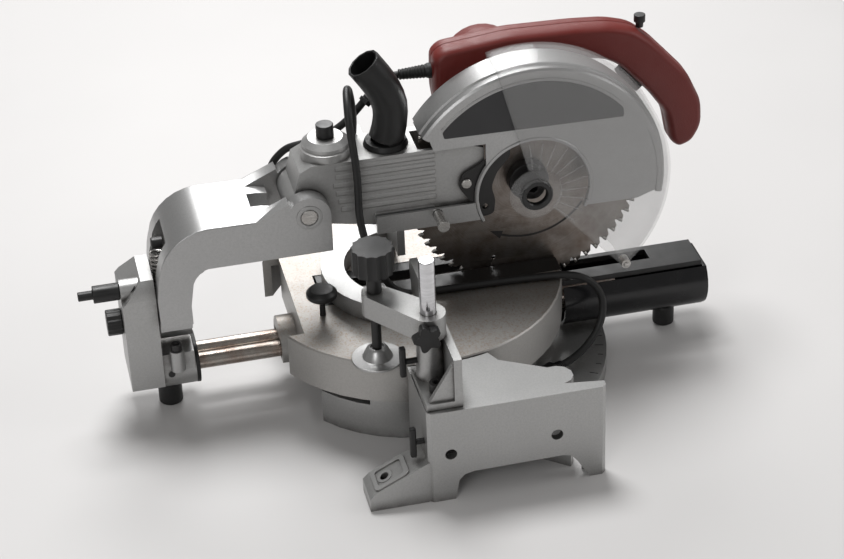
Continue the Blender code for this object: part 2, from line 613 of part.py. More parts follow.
case_line = (arc((BLADE_Y, BLADE_Z), 58.0, 150, 372, 25)
             + [(-52, 262), (-52, 274), (-70, 276)]
             + arc((MOTOR_Y, MOTOR_Z), 50.0, 20, 160, 15))
gear_case = plate("gear_case", "X", [case_line], GUARD_RIGHT + GAP, 42.0, "cast")
case_room = (arc((BLADE_Y, BLADE_Z), 53.5, 130, 400, 27) + arc((MOTOR_Y, MOTOR_Z), 26, 10, 170, 9))
cut(gear_case, plate("gear_room", "X", [case_room], 29.0, 50))
cut(gear_case, rod("spindle_bore", "X", 5, 35, (BLADE_Y, BLADE_Z), 10.4, sides=32))

motor = plate("motor_housing", "X", [case_line], 42.0 + GAP, 48.0, "red")
join(motor, turned("can", "X", (0, MOTOR_Y, MOTOR_Z),
                   [(0, 172), (28, 172), (35, 169), (40, 160), (44, 146), (MOTOR_R, 138),
                    (MOTOR_R, 46), (0, 46)], steps=28))
cut(motor, turned("inside", "X", (0, MOTOR_Y, MOTOR_Z),
                  [(0, 166), (26, 166), (36, 158), (41, 138), (42, 49), (15, 48.9), (15, 40),
                   (0, 40)], steps=20))
cut(motor, rod("spindle_pocket", "X", 40, 46.5, (BLADE_Y, BLADE_Z), 10.0, sides=24))
for side in (-1, 1):
    cut(motor, rod("brush_hole", "Z", MOTOR_Z + side * 20, MOTOR_Z + side * 60, (120, MOTOR_Y), 6.2,
                   sides=20))
brush_caps = [rod(f"brush_cap_{word}", "Z", MOTOR_Z + side * 30, MOTOR_Z + side * 43,
                  (120, MOTOR_Y), 5.9, "black", sides=20)
              for word, side in (("upper", 1), ("lower", -1))]

grip_line = ([(-46, 268), (-40, 300), (-41, 338), (-50, 347), (-120, 354)]
             + [(-190, 352), (-226, 349), (-250, 342), (-272, 325), (-312, 280), (-328, 246)]
             + [(-329, 218), (-318, 199), (-303, 194), (-294, 203), (-288, 238), (-270, 264)]
             + [(-238, 300), (-222, 310), (-199, 314), (-120, 318), (-84, 318), (-72, 306)]
             + [(-68, 277 + GAP), (-52.5, 277)])
handles = []
for word, low, high in (("left", HANDLE_X - HANDLE_HALF, HANDLE_X - GAP / 2),
                        ("right", HANDLE_X + GAP / 2, HANDLE_X + HANDLE_HALF)):
    handles.append(plate(f"handle_{word}", "X", [grip_line], low, high, "red"))
slot_low, slot_high = HANDLE_X - 7.0, HANDLE_X + 7.0
grip_low, grip_high = Vector((-270, 264)), Vector((-238, 300))
along = (grip_high - grip_low).normalized()
outward = Vector((along.y, -along.x))


def grip_box(first, last, inside, outside):
    """A rectangle on the grip's inner edge, from first to last along it."""
    corners = ((first, inside), (last, inside), (last, outside), (first, outside))
    return [tuple(grip_low + along * s + outward * d) for s, d in corners]


for shell in handles:
    cut(shell, plate("trigger_slot", "X", [grip_box(7, 41, -16, 6)], slot_low, slot_high),
        rod("gland_bore", "Y", -62, -30, (HANDLE_X, 319), 8.0 + GAP, sides=24),
        rod("lock_hole", "Z", 325, 360, (HANDLE_X, -262), 4.3, sides=16))
trigger = plate("trigger", "X", [grip_box(8, 40, -9, 9)], slot_low + 0.7, slot_high - 0.7, "black")
nozzle_line = smooth([(0, 16.5, 274), (0, 12, 290), (0, 11, 312), (0, 20, 336), (0, 36, 361)], 11)
nozzle = tube("dust_nozzle", nozzle_line, 18.0, "black", fine=4)
join(nozzle, turned("flange", "Z", (0, 17, 0), [(0, 274), (21, 274), (23, 268.3), (0, 268.3)],
                    steps=28))
inner_line = [nozzle_line[0] - Vector((0, 0, 7))] + nozzle_line
inner_line.append(2 * nozzle_line[-1] - nozzle_line[-2])
cut(nozzle, tube("airway", inner_line, 15.5, fine=4))
gland = turned("cord_gland", "Y", (HANDLE_X, 0, 319),
               [(0, -8), (6.0, -8), (6.6, -30), (8.0, -38), (8.0, -58), (0, -58)], "rubber",
               steps=24)

# --- blade, spindle and drive ------------------------------------------------------------


SAW_TOOTH = ((0.0, 0), (0.45, 1), (0.57, 1), (0.65, 0))
GEAR_TOOTH = ((-0.19, 0), (-0.05, 1), (0.05, 1), (0.19, 0))


def toothed(centre, count, root, tip, shape, start=0.0):
    """A toothed rim as one outline; shape gives each tooth's corners by share of pitch."""
    points = []
    for i in range(count):
        for share, high in shape:
            turn = start + 2 * math.pi * (i + share) / count
            radius = tip if high else root
            points.append((centre[0] + radius * math.cos(turn),
                           centre[1] + radius * math.sin(turn)))
    return points


spin = (BLADE_Y, BLADE_Z)
blade = plate("saw_blade", "X", [toothed(spin, 40, BLADE_R - 7, BLADE_R, SAW_TOOTH)], -BLADE_T / 2,
              BLADE_T / 2, "blade")
cut(blade, rod("arbor_hole", "X", -5, 5, spin, 8.0 + GAP, sides=32))
spindle = rod("spindle", "X", -7.0, 46.0, spin, 8.0, "steel", sides=32)
join(spindle, rod("bearing", "X", GUARD_RIGHT + 2, 40.0, spin, 10.0, sides=30))
mesh_line = math.atan2(MOTOR_Z - BLADE_Z, MOTOR_Y - BLADE_Y)
gear = plate("gear", "X", [toothed(spin, GEAR_TEETH, 47.5, 51.2, GEAR_TOOTH, mesh_line)], 31.0, 39.5)
join(spindle, gear)
cut(spindle, rod("tapped", "X", -20, 10, spin, 4.3, sides=20))
inner_flange = rod("inner_flange", "X", BLADE_T / 2 + GAP, 6.5, spin, 21.0, "steel", sides=36)
cut(inner_flange, rod("bore", "X", -5, 20, spin, 8.0 + GAP, sides=32))
outer_flange = rod("outer_flange", "X", -14.0, -BLADE_T / 2 - GAP, spin, 21.0, "steel", sides=36)
cut(outer_flange, rod("bore", "X", -9, 20, spin, 8.0 + GAP, sides=32),
    rod("bolt_bore", "X", -30, 20, spin, 4.3, sides=20))
arbor_bolt = rod("arbor_bolt", "X", -14 - GAP, 8.0, spin, 4.0, "black", sides=20)
join(arbor_bolt, rod("head", "X", -30.0, -14 - GAP, spin, 12.0, sides=28))
cut(arbor_bolt, rod("socket", "X", -40, -22, spin, 5.0, sides=6))

rotor = rod("rotor", "X", 60.0, 110.0, (MOTOR_Y, MOTOR_Z), 30.0, "copper", sides=32)
pinion_turn = mesh_line + math.pi + math.pi / PINION_TEETH
pinion = plate("pinion", "X", [toothed((MOTOR_Y, MOTOR_Z), PINION_TEETH, 6.2, 9.9, GEAR_TOOTH,
                                       pinion_turn)], 31.2, 41.0)
join(rotor, pinion, rod("shaft", "X", 30.0, 160.0, (MOTOR_Y, MOTOR_Z), 5.5, sides=20),
     rod("commutator", "X", 113, 128, (MOTOR_Y, MOTOR_Z), 14.0, sides=24))

# --- lower guard and its link -------------------------------------------------------------

lower_guard = plate("lower_guard", "X", [sector(spin, 24.0, 147.0, 75, 228, 31)], -38.5,
                    GUARD_RIGHT + 3.4, "clear")
cut(lower_guard, plate("guard_room", "X", [sector(spin, 8.0, 143.5, 68, 235, 34)], -36.0,
                       GUARD_RIGHT + 1.2),
    rod("right_opening", "X", GUARD_RIGHT - 4, 40, spin, 113.0, sides=44))
hub = turned("hub", "X", (0, *spin),
             [(17, -34.5), (27, -34.5), (27, -40.5), (22, -46), (17, -46), (17, -34.5)][::-1],
             steps=36)
join(lower_guard, hub)

link_line = [(-50, 226), (-60, 240), (-84, 262), (-92, 260), (-80, 236), (-74, 212), (-58, 206)]
guard_link = plate("guard_link", "X", [link_line], -29.5, -25.5 - 2.5, "black")

hold_pin = rod("hold_down_pin", "X", -56.0, -16.0, PIN_SPOT, 5.0, "steel", sides=20)
join(hold_pin, rod("cap", "X", -60.0, -55.0, PIN_SPOT, 6.2, sides=20))

lock_button = rod("lock_off_button", "Z", 336, 350, (HANDLE_X, -262), 4.0, "black", sides=16)
join(lock_button, rod("head", "Z", 342, 350, (HANDLE_X, -262), 6.0, sides=18))

# --- cord and plug ------------------------------------------------------------------------

held_route = [(HANDLE_X, -7.6, 319), (45, 3, 318), (44, 13, 313), (41.5, 22, 305), (39, 31, 296),
              (36.5, 45, 283), (36, 60, 272), (37, 77, 264), (41, 95, 258), (48, 112, 250),
              (53, 126, 232), (53.3, 130, 211), (53, 124, 192), (52, 109, 179.5), (51, 89, 177),
              (49.5, 71, 187), (48, 58, 205), (46, 50, 226), (41, 44, 252), (33, 43, 279),
              (24, 45, 302), (17, 48, 321), (7, 51.5, 331), (-7, 55, 335), (-21, 57.5, 331.5),
              (-32, 59, 320.5), (-37, 58.5, 304), (-38, 56, 278), (-38, 54.5, 250),
              (-41, 55, 215), (-44, 52, 190), (-45, 47, 172)]
held_line = smooth(held_route, 58)
power_cord = tube("power_cord", held_line, CORD_R, "rubber")
free_route = [(-45, 46.6, 171.4), (-44.5, 41, 154), (-43, 34, 138), (-41, 23, 121), (-40, 7, 112),
              (-39, -12, 110), (-40, -50, 110), (-42, -100, 110), (-45, -136, 110.2),
              (-48, -156, 110.4), (-51.5, -174, 106), (-56, -187, 95.5), (-61, -192.5, 81),
              (-67, -190.5, 66), (-73.5, -183, 52), (-79, -171, 40), (-83, -159, 32.5),
              (-86.5, -148, 28.3), (-89.4, -140.8, 27.5)]
cord_tail = tube("cord_tail", smooth(free_route, 36), CORD_R, "rubber")


def laid_along(thing, way, spot):
    """Turns a piece made along +Z at the origin to point along way at a spot in mm."""
    thing.data.transform(Matrix.Translation(Vector(spot) * MM)
                         @ Vector(way).to_track_quat("Z", "Y").to_matrix().to_4x4())
    return thing


tie_at = 4
cord_tie = turned("cord_tie", "Z", (0, 0, 0),
                  [(CORD_R + GAP, 2), (5.6, 2), (5.6, -2), (CORD_R + GAP, -2), (CORD_R + GAP, 2)],
                  "black", steps=18)
join(cord_tie, box("tie_lock", (5.0, -3, -2.5), (9.0, 3, 2.5)))
laid_along(cord_tie, held_line[tie_at + 1] - held_line[tie_at - 1], held_line[tie_at])

plug_way = Vector((-0.5, 0.866, 0))
plug_spot = Vector((-89.4, -140.8, 27.5))
plug = laid_along(box("plug", (-8, -7.5, 0.9), (8, 7.5, 33), "rubber", round_by=2.0),
                  plug_way, plug_spot)
for word, x in (("inner", -5.5), ("outer", 5.5)):
    laid_along(box(f"plug_prong_{word}", (x - 0.8, -3.2, 33.3), (x + 0.8, 3.2, 50), "steel"),
               plug_way, plug_spot)

# --- joint origins ------------------------------------------------------------------------


def hang(spot, *things):
    """Moves each piece's origin onto its joint's axis; the piece itself stays put."""
    for thing in things:
        thing.data.transform(Matrix.Translation(-Vector(spot) * MM))
        thing.location = Vector(spot) * MM


hang((0, 260, TABLE_Z), arm, pivot_pin, height_stop)
hang((0, PIVOT_Y, PIVOT_Z), head, turret_knob, upper_guard, gear_case, motor, *brush_caps, *handles,
     nozzle, gland, cord_tie, power_cord)
hang((0, *spin), blade, spindle, inner_flange, outer_flange, arbor_bolt, lower_guard)
hang((90, MOTOR_Y, MOTOR_Z), rotor)
hang((-28, -58, 226), guard_link)
hang((HANDLE_X, -248.5, 295.7), trigger)
hang((HANDLE_X, -262, 345), lock_button)
hang((-40, *PIN_SPOT), hold_pin)
hang((ROD_X, ROD_Y, 170), vise_arm)
hang((ROD_X - 24, ROD_Y + 7, 172), star_knob)
hang((*clamp, 110), vise_pad)
hang((*clamp, 170), vise_screw)
hang((*lock_spot, 130), lock_knob)
hang((-16, 310, 152), bevel_lever)
hang((0, 305, TABLE_Z), bevel_knob)
hang((ROD_X, 47, 132), rod_screw)
hang((-226, 47, 63), bar_screw)
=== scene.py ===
"""Looks for a sliding miter saw: fine pieces, surfaces, cord, light and camera.

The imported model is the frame. Lengths below are in millimetres and become metres in
place(); +X is the operator's right, +Y the rear, +Z up.
"""
import math

import bmesh
import bpy
from mathutils import Matrix, Vector


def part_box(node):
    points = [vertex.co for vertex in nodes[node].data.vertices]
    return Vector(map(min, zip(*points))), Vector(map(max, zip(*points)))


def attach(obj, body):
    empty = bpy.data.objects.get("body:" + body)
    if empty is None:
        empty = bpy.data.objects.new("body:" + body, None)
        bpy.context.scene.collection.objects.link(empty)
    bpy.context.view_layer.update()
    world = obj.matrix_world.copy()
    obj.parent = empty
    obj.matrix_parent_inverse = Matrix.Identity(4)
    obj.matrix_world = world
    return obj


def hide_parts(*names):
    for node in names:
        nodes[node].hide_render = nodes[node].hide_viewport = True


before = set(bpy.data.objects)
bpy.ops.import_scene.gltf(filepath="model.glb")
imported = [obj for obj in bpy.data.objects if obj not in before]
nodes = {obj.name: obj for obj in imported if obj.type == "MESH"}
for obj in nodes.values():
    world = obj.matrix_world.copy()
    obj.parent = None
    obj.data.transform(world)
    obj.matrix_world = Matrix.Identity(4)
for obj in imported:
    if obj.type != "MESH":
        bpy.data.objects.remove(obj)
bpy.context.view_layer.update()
MM = 0.001

# Middle lines and sizes, read from the frame
blade_low, blade_high = (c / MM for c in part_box("saw_blade"))
BLADE_Y = (blade_low.y + blade_high.y) / 2
BLADE_Z = (blade_low.z + blade_high.z) / 2
SPIN = (BLADE_Y, BLADE_Z)
guard_low, guard_high = (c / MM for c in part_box("upper_guard"))
handle_low, handle_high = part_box("handle_left")[0] / MM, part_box("handle_right")[1] / MM
HANDLE_X = (handle_low.x + handle_high.x) / 2
NECK_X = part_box("head_casting")[0].x / MM
WELD = 0.0005              # points closer than this are one
CORD_RADIUS = 3.9


# --- materials ------------------------------------------------------------------------

class Paint:
    """A Principled material with named node shortcuts."""

    def __init__(self, name, colour, roughness, metallic=0.0):
        self.made = bpy.data.materials.new(name)
        self.made.use_nodes = True
        self.tree = self.made.node_tree
        self.shader = self.tree.nodes["Principled BSDF"]
        self.shader.inputs["Base Color"].default_value = (*colour, 1.0)
        self.shader.inputs["Roughness"].default_value = roughness
        self.shader.inputs["Metallic"].default_value = metallic
        self.spot = self.tree.nodes.new("ShaderNodeTexCoord").outputs["Object"]

    def link(self, source, target):
        self.tree.links.new(source, target)

    def stretched(self, scale):
        """Object coordinates scaled by (x, y, z), for a grain that runs one way."""
        mapping = self.tree.nodes.new("ShaderNodeMapping")
        mapping.inputs["Scale"].default_value = scale
        self.link(self.spot, mapping.inputs["Vector"])
        return mapping.outputs["Vector"]

    def noise(self, scale, detail=3.0, vector=None, roughness=0.55):
        node = self.tree.nodes.new("ShaderNodeTexNoise")
        node.inputs["Scale"].default_value = scale
        node.inputs["Detail"].default_value = detail
        node.inputs["Roughness"].default_value = roughness
        self.link(vector or self.spot, node.inputs["Vector"])
        return node.outputs["Fac"]

    def ramp(self, value, low, high, start=0.0, end=1.0):
        """value from low to high becomes start to end, held beyond them."""
        node = self.tree.nodes.new("ShaderNodeMapRange")
        for key, number in (("From Min", low), ("From Max", high), ("To Min", start), ("To Max", end)):
            node.inputs[key].default_value = number
        self.link(value, node.inputs["Value"])
        return node.outputs["Result"]

    def times(self, one, two):
        node = self.tree.nodes.new("ShaderNodeMath")
        node.operation = "MULTIPLY"
        self.link(one, node.inputs[0])
        self.link(two, node.inputs[1])
        return node.outputs[0]

    def colours(self, share, first, second):
        """first where share is 0, second where it is 1; each a colour or a socket."""
        node = self.tree.nodes.new("ShaderNodeMix")
        node.data_type = "RGBA"
        self.link(share, node.inputs["Factor"])
        for socket, colour in ((node.inputs[6], first), (node.inputs[7], second)):
            if isinstance(colour, tuple):
                socket.default_value = (*colour, 1.0)
            else:
                self.link(colour, socket)
        return node.outputs[2]

    def set(self, name, source):
        self.link(source, self.shader.inputs[name])

    def bump(self, height, strength, distance):
        node = self.tree.nodes.new("ShaderNodeBump")
        node.inputs["Strength"].default_value = strength
        node.inputs["Distance"].default_value = distance
        self.link(height, node.inputs["Height"])
        self.link(node.outputs["Normal"], self.shader.inputs["Normal"])

    def hollows(self, distance):
        """Near 1 in corners and hollows, 0 on open faces."""
        node = self.tree.nodes.new("ShaderNodeAmbientOcclusion")
        node.samples = 4
        node.inputs["Distance"].default_value = distance
        return self.ramp(node.outputs["AO"], 0.35, 0.95, 1.0, 0.0)

    def upward(self):
        """1 on faces that look up, 0 on walls."""
        node = self.tree.nodes.new("ShaderNodeSeparateXYZ")
        geometry = self.tree.nodes.new("ShaderNodeNewGeometry")
        self.link(geometry.outputs["Normal"], node.inputs["Vector"])
        return self.ramp(node.outputs["Z"], 0.5, 0.95)


def cast_aluminium(name, colour, dust=0.0, shine=0.4, metal=0.78, grime_and_corner_shade=0.95):
    """Grey die casting: fine grain, dirt and painted shade in its corners, and dust on what faces up."""
    paint = Paint(name, colour, shine, metal)
    cloud = paint.noise(14.0, 4.0)
    tone = paint.colours(paint.ramp(cloud, 0.3, 0.75), colour, tuple(c * 0.93 for c in colour))
    grain = paint.ramp(paint.noise(520.0, 3.0, roughness=0.7), 0.4, 0.7)
    tone = paint.colours(grain, tone, tuple(c * 0.86 for c in colour))
    # Painted shade with dirt: an ambient-occlusion mask darkens corners and hollows towards a dark brown,
    # in uneven noise patches.
    patches = paint.ramp(paint.noise(90.0, 4.0), 0.3, 0.7, grime_and_corner_shade * 0.47, grime_and_corner_shade)
    dirt_and_corner_shade = paint.times(paint.hollows(0.014), patches)
    tone = paint.colours(dirt_and_corner_shade, tone, (0.07, 0.06, 0.052))
    if dust:
        specks = paint.ramp(paint.noise(420.0, 5.0, roughness=0.75), 0.5, 0.66, 0.0, dust)
        tone = paint.colours(paint.times(specks, paint.upward()), tone, (0.3, 0.215, 0.15))
        film = paint.ramp(paint.noise(11.0, 6.0, roughness=0.65), 0.4, 0.75, 0.0, dust * 0.6)
        tone = paint.colours(paint.times(film, paint.upward()), tone, (0.23, 0.19, 0.155))
    paint.set("Base Color", tone)
    paint.set("Roughness", paint.ramp(paint.noise(60.0, 3.0), 0.2, 0.85, shine, shine + 0.03))
    paint.bump(paint.noise(1300.0, 3.0), 0.1, 0.0003)
    return paint.made


def machined_steel(name, colour, grain, rust=0.0, shine=0.25):
    """Turned or ground steel: fine lines one way, and brown stains where rust is given."""
    paint = Paint(name, colour, shine, 1.0)
    lines = paint.noise(1.0, 3.0, paint.stretched(grain))
    tone = paint.colours(paint.ramp(lines, 0.3, 0.7), colour, tuple(c * 0.78 for c in colour))
    if rust:
        stain = paint.ramp(paint.noise(38.0, 6.0, roughness=0.7), 0.42, 0.66, 0.0, rust)
        tone = paint.colours(stain, tone, (0.2, 0.09, 0.045))
        paint.set("Metallic", paint.ramp(stain, 0.0, 1.0, 1.0, 0.35))
    paint.set("Base Color", tone)
    paint.set("Roughness", paint.ramp(lines, 0.25, 0.75, shine - 0.08, shine + 0.14))
    paint.bump(lines, 0.08, 0.0002)
    return paint.made


def moulded(name, colour, shine, grain=1100.0, depth=0.25, dust=0.12):
    """Moulded plastic with a fine texture, dust in its grain and slightly uneven gloss."""
    paint = Paint(name, colour, shine)
    cloud = paint.ramp(paint.noise(30.0, 4.0), 0.35, 0.75, 0.0, dust)
    tone = paint.colours(cloud, colour, tuple(c * 0.8 + 0.016 for c in colour))
    paint.set("Base Color", tone)
    paint.set("Roughness", paint.ramp(paint.noise(60.0, 4.0), 0.3, 0.75, shine - 0.07, shine + 0.12))
    paint.bump(paint.noise(grain, 2.0), depth, 0.0004)
    return paint.made


def clear_plastic(name):
    """Clear polycarbonate gone slightly milky under a thin film of dust."""
    paint = Paint(name, (0.6, 0.6, 0.6), 0.1)
    paint.shader.inputs["Alpha"].default_value = 0.17
    film = paint.ramp(paint.noise(260.0, 4.0), 0.35, 0.8)
    paint.set("Base Color", paint.colours(film, (0.62, 0.62, 0.62), (0.58, 0.578, 0.572)))
    return paint.made


def blade_steel(name):
    """Sanded saw plate: rings round the arbor, brown resin stains and dull patches."""
    paint = Paint(name, (0.34, 0.31, 0.285), 0.34, 0.95)
    mapping = paint.tree.nodes.new("ShaderNodeMapping")
    mapping.inputs["Location"].default_value = (0.0, -BLADE_Y * MM, -BLADE_Z * MM)
    paint.link(paint.spot, mapping.inputs["Vector"])
    length = paint.tree.nodes.new("ShaderNodeVectorMath")
    length.operation = "LENGTH"
    paint.link(mapping.outputs["Vector"], length.inputs[0])
    rings = paint.noise(1.0, 2.0)
    ring_node = rings.node
    ring_node.noise_dimensions = "1D"
    ring_node.inputs["Scale"].default_value = 1400.0
    paint.link(length.outputs["Value"], ring_node.inputs["W"])
    tone = paint.colours(paint.ramp(ring_node.outputs["Fac"], 0.3, 0.7), (0.34, 0.31, 0.285),
                         (0.24, 0.215, 0.195))
    resin = paint.ramp(paint.noise(34.0, 6.0, roughness=0.7), 0.42, 0.7, 0.0, 0.75)
    tone = paint.colours(resin, tone, (0.13, 0.085, 0.06))
    paint.set("Base Color", tone)
    paint.set("Roughness", paint.ramp(ring_node.outputs["Fac"], 0.2, 0.8, 0.26, 0.46))
    return paint.made


CAST = cast_aluminium("cast_aluminium", (0.47, 0.47, 0.465))
CAST_DUSTY = cast_aluminium("cast_aluminium_dusty", (0.44, 0.43, 0.415), dust=0.8, shine=0.42)
# Little painted corner shade here, so the clear guard's shell does not darken the cheek behind it.
CAST_BRIGHT = cast_aluminium("cast_aluminium_bright", (0.47, 0.47, 0.468), shine=0.32, metal=0.85,
                             grime_and_corner_shade=0.12)
RAIL = machined_steel("rail_steel", (0.5, 0.46, 0.42), (900.0, 18.0, 900.0), rust=0.62)
STEEL = machined_steel("turned_steel", (0.56, 0.55, 0.53), (60.0, 60.0, 900.0), rust=0.15)
CHROME = machined_steel("chrome_plate", (0.78, 0.78, 0.8), (40.0, 40.0, 300.0), rust=0.08, shine=0.12)
BLADE = blade_steel("saw_plate")
CARBIDE = machined_steel("carbide", (0.62, 0.6, 0.57), (500.0, 500.0, 500.0), shine=0.3)
BLACK = moulded("black_plastic", (0.007, 0.007, 0.007), 0.4)
GLOSS_BLACK = moulded("glossy_black_plastic", (0.006, 0.006, 0.007), 0.2, grain=300.0, depth=0.05)
OXIDE = moulded("black_oxide", (0.013, 0.012, 0.012), 0.36, grain=500.0, depth=0.1, dust=0.2)
RUBBER = moulded("rubber", (0.008, 0.008, 0.008), 0.5, grain=700.0, depth=0.12)
RED = moulded("red_plastic", (0.15, 0.015, 0.011), 0.46, grain=900.0, depth=0.5, dust=0.2)
LABEL = moulded("dark_label", (0.026, 0.026, 0.028), 0.34, grain=200.0, depth=0.02, dust=0.1)
PRINT = moulded("printed_ink", (0.02, 0.018, 0.017), 0.5, grain=200.0, depth=0.02)
CLEAR = clear_plastic("clear_polycarbonate")
SMOKED = moulded("smoked_plastic", (0.014, 0.014, 0.014), 0.3, grain=300.0, depth=0.05)
COPPER = machined_steel("windings", (0.5, 0.26, 0.13), (600.0, 60.0, 60.0), shine=0.35)


# --- shapes, each a bmesh in millimetres ----------------------------------------------

AXES = {
    "X": Matrix(((0, 0, 1), (1, 0, 0), (0, 1, 0))).to_4x4(),
    "Y": Matrix(((1, 0, 0), (0, 0, -1), (0, 1, 0))).to_4x4(),
    "Z": Matrix.Identity(4),
}


def from_object(thing, turn=Matrix.Identity(4)):
    """The evaluated mesh of a helper object as a bmesh; the helper is removed."""
    bpy.context.view_layer.update()
    data = bpy.data.meshes.new_from_object(thing.evaluated_get(bpy.context.evaluated_depsgraph_get()))
    work = bmesh.new()
    work.from_mesh(data)
    work.transform(turn)
    bpy.data.objects.remove(thing, do_unlink=True)
    bpy.data.meshes.remove(data)
    bmesh.ops.remove_doubles(work, verts=work.verts, dist=WELD)
    return outward(work)


def outward(work):
    """The closed shape with its faces turned out."""
    bmesh.ops.recalc_face_normals(work, faces=work.faces)
    if work.calc_volume(signed=True) < 0:
        bmesh.ops.reverse_faces(work, faces=work.faces)
    return work


def helper(data):
    """A short-lived object that carries a mesh or a curve."""
    thing = bpy.data.objects.new("helper", data)
    bpy.context.scene.collection.objects.link(thing)
    return thing


def box(low, high):
    """A block between two corners."""
    work = bmesh.new()
    bmesh.ops.create_cube(work, size=1.0)
    bmesh.ops.scale(work, vec=Vector(high) - Vector(low), verts=work.verts)
    bmesh.ops.translate(work, vec=(Vector(high) + Vector(low)) / 2, verts=work.verts)
    return work


def turned(axis, spot, profile, steps=64):
    """Closed (radius, height) profile turned about an axis at spot."""
    work = bmesh.new()
    rings = []
    for i in range(steps):
        turn = 2 * math.pi * i / steps
        rings.append([work.verts.new((r * math.cos(turn), r * math.sin(turn), h)) for r, h in profile])
    for one, two in zip(rings, rings[1:] + rings[:1]):
        for a, b, c, d in zip(one, one[1:] + one[:1], two[1:] + two[:1], two):
            work.faces.new((a, b, c, d))
    turn = {"X": Matrix.Rotation(math.pi / 2, 4, "Y"), "Y": Matrix.Rotation(-math.pi / 2, 4, "X"),
            "Z": Matrix.Identity(4)}[axis]
    work.transform(Matrix.Translation(Vector(spot)) @ turn)
    bmesh.ops.remove_doubles(work, verts=work.verts, dist=WELD)
    bmesh.ops.dissolve_degenerate(work, edges=work.edges, dist=WELD)
    return outward(work)


def rod(axis, start, end, across, radius, sides=48, tip=None):
    """A cylinder, or cone when tip is given, from start to end along an axis."""
    spot = {"X": (0, across[0], across[1]), "Y": (across[0], 0, across[1]), "Z": (*across, 0)}[axis]
    far = radius if tip is None else tip
    return turned(axis, spot, [(0, start), (radius, start), (far, end), (0, end)], sides)


def plate(axis, loops, low, high):
    """Closed outlines, the rest holes, with thickness low to high along an axis."""
    curve = bpy.data.curves.new("outline", "CURVE")
    curve.dimensions = "2D"
    curve.fill_mode = "BOTH"
    curve.extrude = (high - low) / 2
    for loop in loops:
        spline = curve.splines.new("POLY")
        spline.points.add(len(loop) - 1)
        for point, (u, v) in zip(spline.points, loop):
            point.co = (u, v, 0.0, 1.0)
        spline.use_cyclic_u = True
    middle = (high + low) / 2
    shift = {"X": (middle, 0, 0), "Y": (0, middle, 0), "Z": (0, 0, middle)}[axis]
    return from_object(helper(curve), Matrix.Translation(Vector(shift)) @ AXES[axis])


def tube(points, radius, sides=5, tapers=None):
    """A round bar along points, its radius scaled by tapers where given."""
    curve = bpy.data.curves.new("route", "CURVE")
    curve.dimensions = "3D"
    curve.bevel_depth = radius
    curve.bevel_resolution = sides
    curve.use_fill_caps = True
    spline = curve.splines.new("POLY")
    spline.points.add(len(points) - 1)
    for i, (point, spot) in enumerate(zip(spline.points, points)):
        point.co = (*spot, 1.0)
        point.radius = tapers[i] if tapers else 1.0
    return from_object(helper(curve))


def swept(section, centre, first, last, steps):
    """A closed (x, radius) section carried round an X axis at centre, from one angle to another."""
    work = bmesh.new()
    rings = []
    for i in range(steps + 1):
        turn = math.radians(first + (last - first) * i / steps)
        rings.append([work.verts.new((x, centre[0] + r * math.cos(turn), centre[1] + r * math.sin(turn)))
                      for x, r in section])
    for one, two in zip(rings, rings[1:]):
        for a, b, c, d in zip(one, one[1:] + one[:1], two[1:] + two[:1], two):
            work.faces.new((a, b, c, d))
    work.faces.new(rings[0])
    work.faces.new(rings[-1][::-1])
    return outward(work)


def merged(*works):
    """Several shapes as one bmesh."""
    whole = bmesh.new()
    for work in works:
        data = bpy.data.meshes.new("part")
        work.to_mesh(data)
        whole.from_mesh(data)
        bpy.data.meshes.remove(data)
        work.free()
    return whole


def as_helper(work):
    """The shape as a short-lived object."""
    data = bpy.data.meshes.new("part")
    work.to_mesh(data)
    work.free()
    return helper(data)


def cut(work, *tools, operation="DIFFERENCE"):
    """The shape with each tool taken away, or joined on."""
    for tool in tools:
        target, cutter = as_helper(work), as_helper(tool)
        step = target.modifiers.new("tool", "BOOLEAN")
        step.operation = operation
        step.solver = "EXACT"
        step.object = cutter
        work = from_object(target)
        bpy.data.objects.remove(cutter, do_unlink=True)
    return work


def join(work, *tools):
    """The shapes as one solid."""
    return cut(work, *tools, operation="UNION")


def arc(centre, radius, first, last, count):
    """Points round an arc, angles in degrees."""
    turns = [math.radians(first + (last - first) * i / (count - 1)) for i in range(count)]
    return [(centre[0] + radius * math.cos(t), centre[1] + radius * math.sin(t)) for t in turns]


def rounded(corners, radius, count=6):
    """An outline with each corner turned into an arc of about that radius."""
    most = 0.45
    points = []
    for i, corner in enumerate(corners):
        here = Vector(corner)
        before, after = Vector(corners[i - 1]) - here, Vector(corners[(i + 1) % len(corners)]) - here
        reach = min(radius, before.length * most, after.length * most)
        start, end = here + before.normalized() * reach, here + after.normalized() * reach
        for k in range(count + 1):
            t = k / count
            points.append(tuple(start * (1 - t) ** 2 + here * 2 * t * (1 - t) + end * t ** 2))
    return points


def smooth(points, count):
    """Even steps along a Catmull-Rom curve through the points."""
    per_span = 24
    spots = [Vector(p) for p in points]
    spots = [2 * spots[0] - spots[1]] + spots + [2 * spots[-1] - spots[-2]]
    fine = []
    for i in range(1, len(spots) - 2):
        a, b, c, d = spots[i - 1:i + 3]
        for k in range(per_span):
            t = k / per_span
            fine.append(0.5 * (2 * b + (c - a) * t + (2 * a - 5 * b + 4 * c - d) * t * t
                               + (3 * b - 3 * c + d - a) * t ** 3))
    fine.append(spots[-2])
    run = [0.0]
    for one, two in zip(fine, fine[1:]):
        run.append(run[-1] + (two - one).length)
    even = []
    k = 0
    for i in range(count):
        want = run[-1] * i / (count - 1)
        while k < len(run) - 2 and run[k + 1] < want:
            k += 1
        even.append(fine[k].lerp(fine[k + 1], (want - run[k]) / (run[k + 1] - run[k])))
    return even


